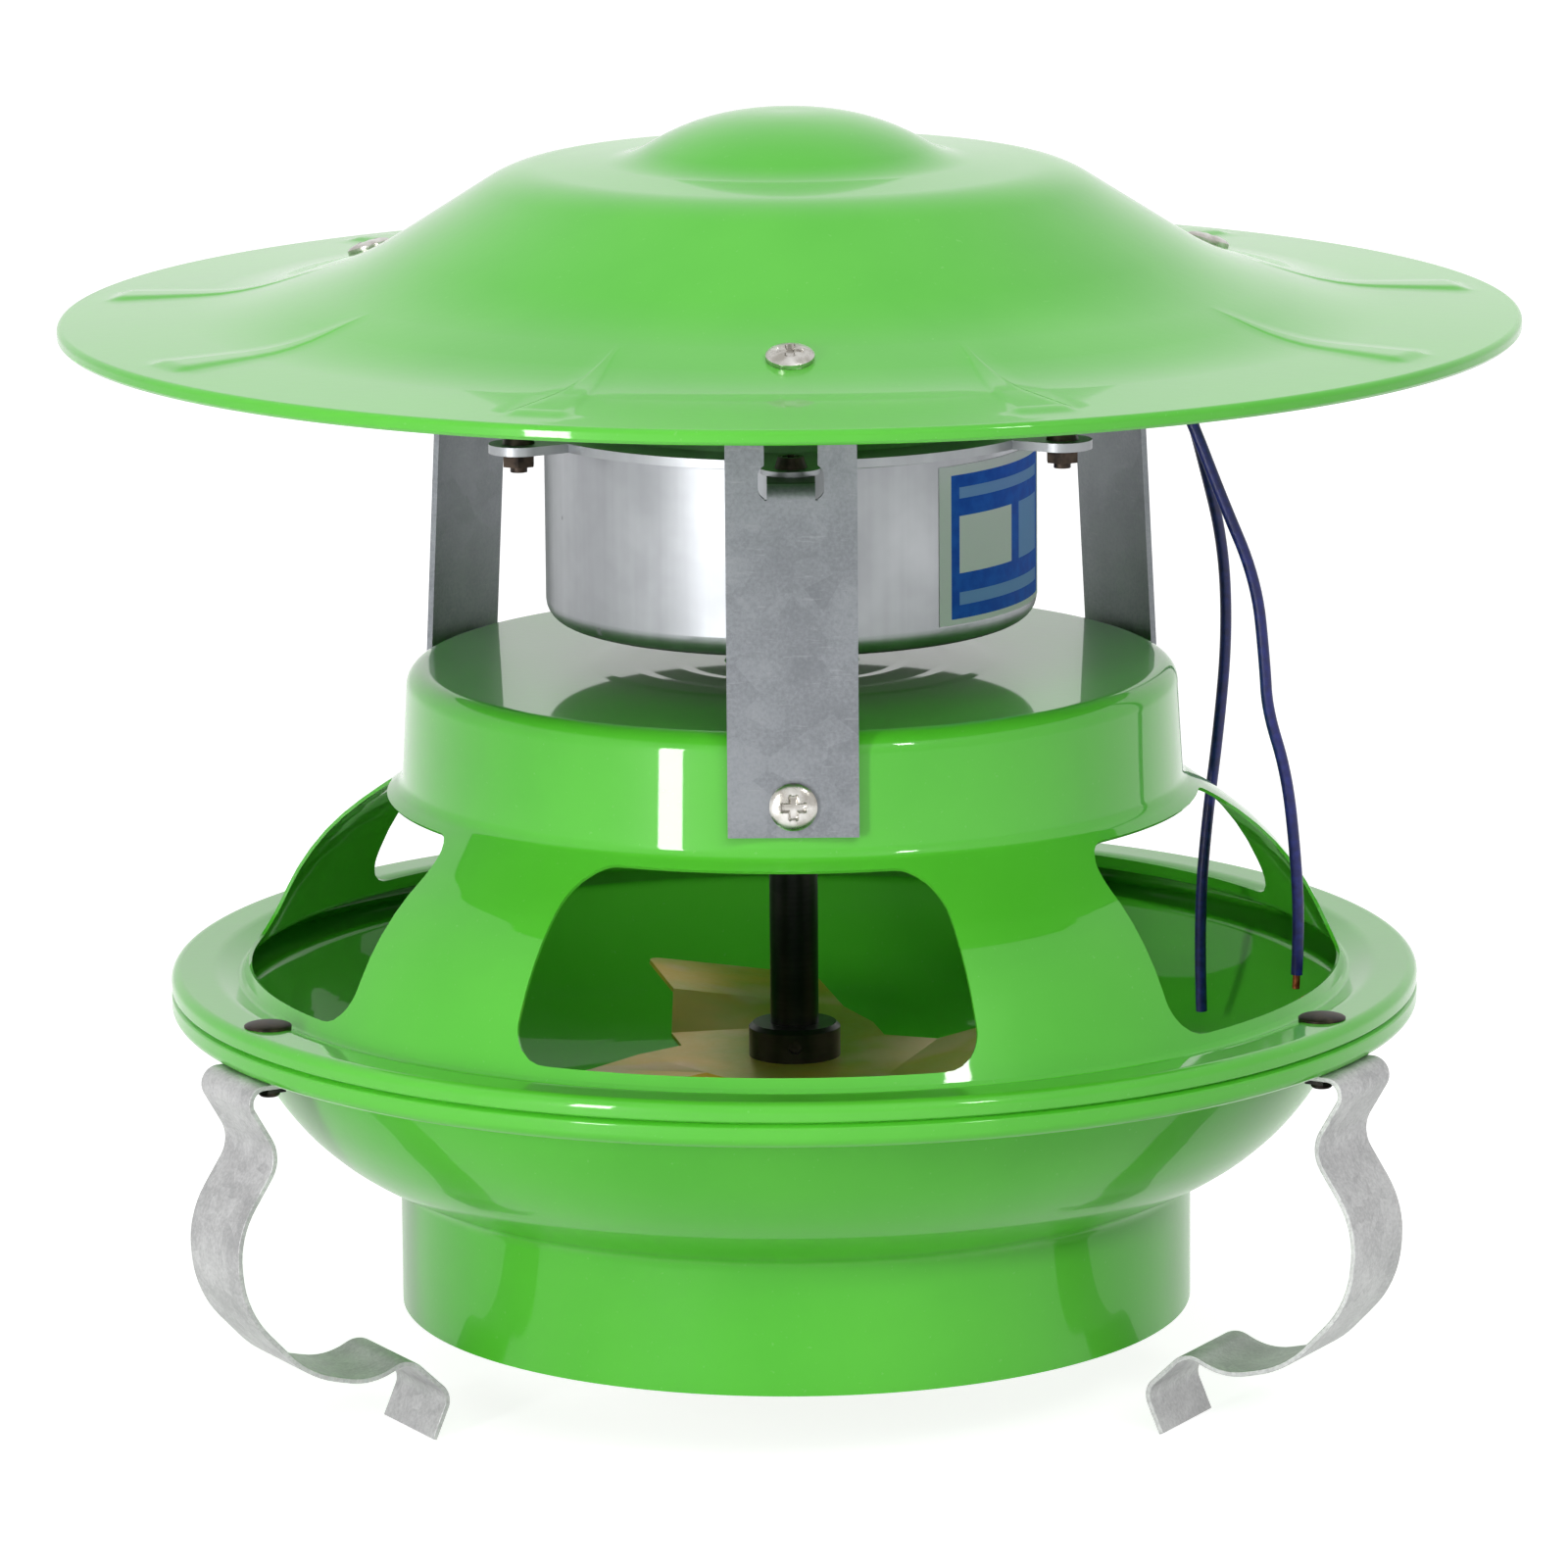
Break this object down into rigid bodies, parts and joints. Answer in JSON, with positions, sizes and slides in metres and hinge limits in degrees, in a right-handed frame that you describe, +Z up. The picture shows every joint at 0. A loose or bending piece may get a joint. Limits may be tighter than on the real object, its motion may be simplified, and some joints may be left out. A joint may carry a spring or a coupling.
{
  "type": "chimney draught fan",
  "caption": "Round green chimney draught fan: motor under a rain cap on straps, vented housing with an impeller, pipe neck and spring clips.",
  "frame": {"origin": "on the fan's axis, at the level of the spring clip tips that it stands on", "axes": "+Z up along the shaft, -Y towards the front strap"},
  "size_m": [0.345, 0.345, 0.3055],
  "materials": {
    "green_paint": "gloss enamel",
    "galvanised_strap": "galvanised strip",
    "spring_steel": "bright strip",
    "zinc_fastener": "zinc plated",
    "motor_aluminium": "drawn, satin",
    "bush_bronze": "oiled sintered",
    "core_steel": "stacked sheet",
    "winding_copper": "bare copper",
    "shaft_black": "blackened",
    "passivated_gold": "yellow passivated",
    "hub_steel": "plated",
    "label_blue": "printed film",
    "grommet_rubber": "matt",
    "lead_blue": "insulation"
  },
  "bodies": {
    "housing": {"rain_cap": "green_paint", "upper_cover": "green_paint", "lower_bowl": "green_paint", "support_strap_front": "galvanised_strap", "support_strap_right": "galvanised_strap", "support_strap_left": "galvanised_strap", "spring_clip_right": "spring_steel", "spring_clip_rear": "spring_steel", "spring_clip_left": "spring_steel", "cap_screws": "zinc_fastener", "cap_nuts": "zinc_fastener", "strap_screws": "zinc_fastener", "strap_nuts": "zinc_fastener", "clip_bolts": "zinc_fastener", "clip_nuts": "zinc_fastener", "can_bolts": "zinc_fastener", "can_nuts": "zinc_fastener", "tongue_bolts": "zinc_fastener", "tongue_nuts": "zinc_fastener", "motor_can": "motor_aluminium", "motor_end_cover": "motor_aluminium", "lower_bush": "bush_bronze", "upper_bush": "bush_bronze", "stator_core": "core_steel", "stator_coils": "winding_copper", "lead_tip": "winding_copper", "motor_label": "label_blue", "lead_grommet": "grommet_rubber", "inner_lead": "lead_blue", "outer_lead": "lead_blue"},
    "rotor": {"shaft": "shaft_black", "rotor_core": "core_steel", "stop_rings": "core_steel", "impeller": "passivated_gold", "impeller_hub": "hub_steel", "hub_set_screw": "zinc_fastener", "impeller_washer": "hub_steel", "impeller_nut": "hub_steel"}
  },
  "joints": [
    {"name": "fan_spin", "type": "hinge", "parent": "housing", "child": "rotor", "pos_m": [0, 0, 0.18], "axis": [0, 0, 1], "continuous": true}
  ]
}
